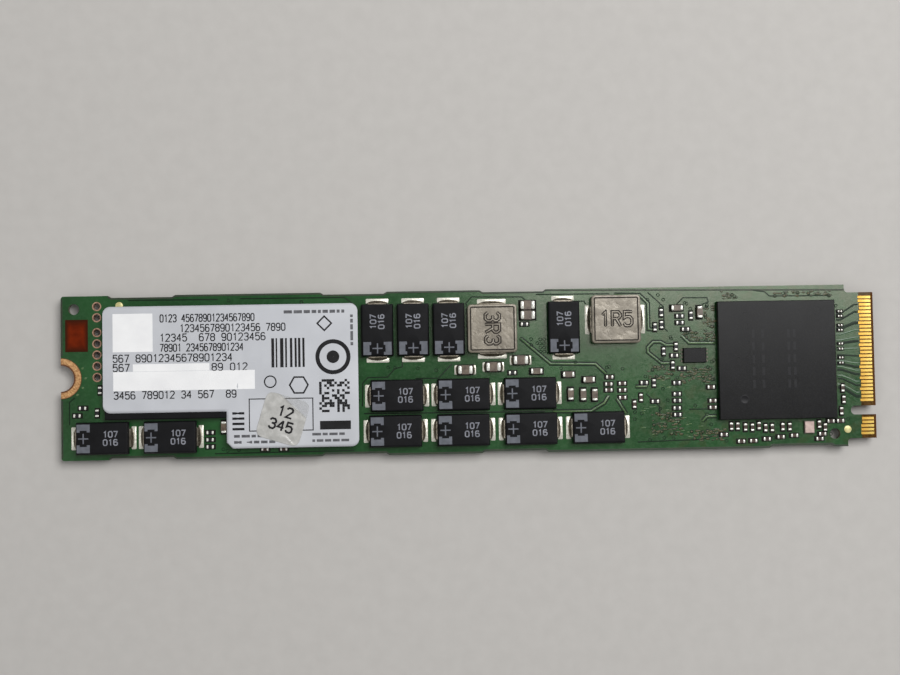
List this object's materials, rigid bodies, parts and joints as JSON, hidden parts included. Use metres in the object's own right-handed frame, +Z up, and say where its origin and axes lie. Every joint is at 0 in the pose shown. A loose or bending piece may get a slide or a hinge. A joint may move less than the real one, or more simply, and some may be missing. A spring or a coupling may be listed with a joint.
{
  "type": "m2 solid state drive",
  "caption": "Long M.2 solid-state drive card: populated green circuit board with edge connector, screw notch, controller, labelled memory packages, power chokes and moulded capacitors.",
  "frame": {"origin": "centre of the card's outline, at the lowest faces of the packages on its underside", "axes": "+X along the card towards the edge connector, +Y across the card towards the long edge beside contact 1, +Z up out of the labelled face"},
  "size_m": [0.11, 0.022, 0.0033],
  "materials": {
    "board_mask": "green solder mask over glass-fibre laminate",
    "gold_plate": "gold-plated contacts",
    "copper_plate": "plated copper lands",
    "package_laminate": "dark laminate substrate",
    "package_mold": "black epoxy moulding",
    "capacitor_resin": "charcoal moulded case",
    "tinned_metal": "tinned metal",
    "solder": "bright solder",
    "choke_powder": "pressed iron powder, champagne grey coat",
    "capacitor_ceramic": "tan ceramic",
    "resistor_ceramic": "dark glazed ceramic",
    "crystal_metal": "plated lid",
    "label_paper": "pale silver-grey printed label",
    "sticker_film": "crumpled translucent film",
    "red_ink": "red-brown ink"
  },
  "bodies": {
    "root": {"capacitor_1": "capacitor_resin", "capacitor_10": "capacitor_resin", "capacitor_11": "capacitor_resin", "capacitor_12": "capacitor_resin", "capacitor_13": "capacitor_resin", "capacitor_2": "capacitor_resin", "capacitor_3": "capacitor_resin", "capacitor_4": "capacitor_resin", "capacitor_5": "capacitor_resin", "capacitor_6": "capacitor_resin", "capacitor_7": "capacitor_resin", "capacitor_8": "capacitor_resin", "capacitor_9": "capacitor_resin", "capacitor_anode_leads": "tinned_metal", "capacitor_cathode_leads": "tinned_metal", "ceramic_capacitor_bodies": "capacitor_ceramic", "ceramic_capacitor_ends": "tinned_metal", "choke_a_core": "choke_powder", "choke_a_terminals": "tinned_metal", "choke_b_core": "choke_powder", "choke_b_terminals": "tinned_metal", "circuit_board": "board_mask", "controller_balls": "solder", "controller_mold": "package_mold", "controller_substrate": "package_laminate", "crystal_base": "resistor_ceramic", "crystal_lid": "crystal_metal", "debug_port": "copper_plate", "dram_mold": "package_mold", "dram_substrate": "package_laminate", "edge_contacts_bottom": "gold_plate", "edge_contacts_top": "gold_plate", "fiducials": "tinned_metal", "ink_patch": "red_ink", "label": "label_paper", "memory_balls": "solder", "nand_a_mold": "package_mold", "nand_a_substrate": "package_laminate", "nand_b_mold": "package_mold", "nand_b_substrate": "package_laminate", "nand_c_mold": "package_mold", "nand_c_substrate": "package_laminate", "nand_d_mold": "package_mold", "nand_d_substrate": "package_laminate", "power_chip_body": "package_mold", "power_chip_leads": "tinned_metal", "screw_pad": "copper_plate", "small_capacitor_bodies": "capacitor_ceramic", "small_chip_ends": "tinned_metal", "small_resistor_bodies": "resistor_ceramic", "solder_joints": "solder", "sticker": "sticker_film", "underside_capacitor_bodies": "capacitor_ceramic", "underside_capacitor_ends": "tinned_metal"}
  },
  "joints": []
}
